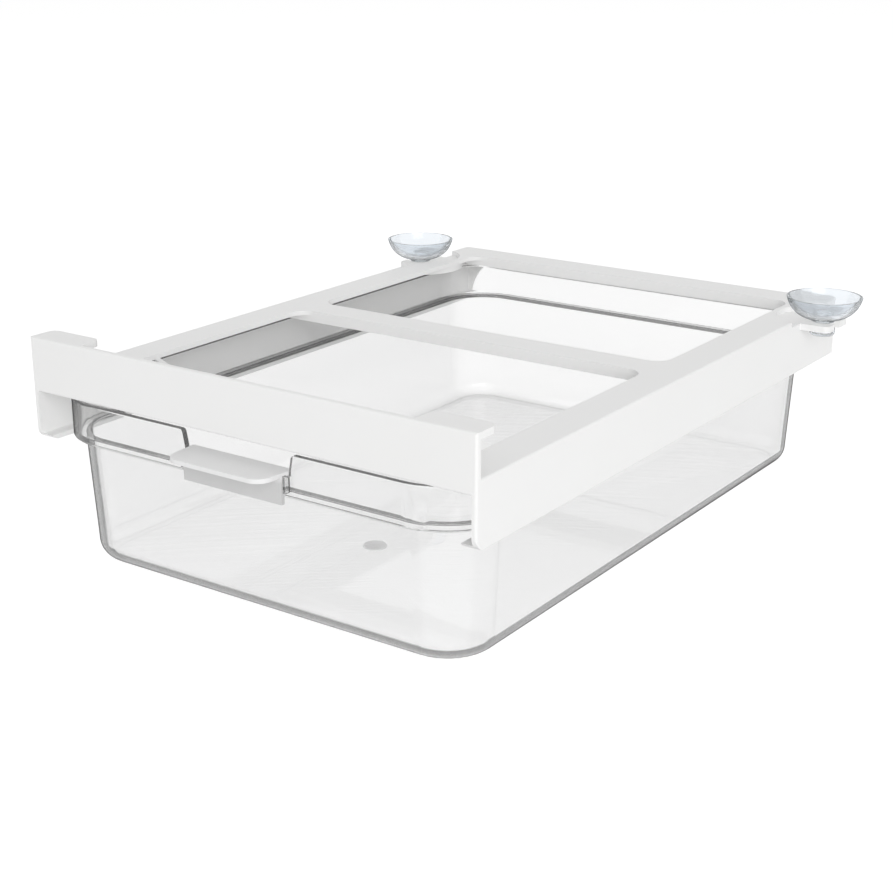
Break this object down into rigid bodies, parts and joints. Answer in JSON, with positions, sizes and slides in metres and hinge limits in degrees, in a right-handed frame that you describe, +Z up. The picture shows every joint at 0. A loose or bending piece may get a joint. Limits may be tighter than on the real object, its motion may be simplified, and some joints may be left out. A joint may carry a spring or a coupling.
{
  "type": "under-shelf drawer organizer",
  "caption": "Clear drawer that slides in a white holder frame, hooked on a fridge shelf's front edge and held below it by suction cups.",
  "frame": {"origin": "middle of the bounding box on the level of the tray's flat base", "axes": "+Z up, +Y from the handle towards the rear, +X to the right as seen from the handle"},
  "size_m": [0.281, 0.3456, 0.1014],
  "materials": {
    "white_plastic": "fine satin moulded surface",
    "frosted_plastic": "pale grey, slightly frosted and satin",
    "clear_plastic": "clear and glossy",
    "soft_clear_plastic": "clear, soft and glossy"
  },
  "bodies": {
    "holder": {"holder_frame": "white_plastic", "suction_cup_left": "soft_clear_plastic", "suction_cup_right": "soft_clear_plastic"},
    "drawer": {"tray": "clear_plastic", "handle_clip": "frosted_plastic"}
  },
  "joints": [
    {"name": "tray_slide", "type": "slide", "parent": "holder", "child": "drawer", "axis": [0, -1, 0], "range_m": [0, 0.25]}
  ]
}
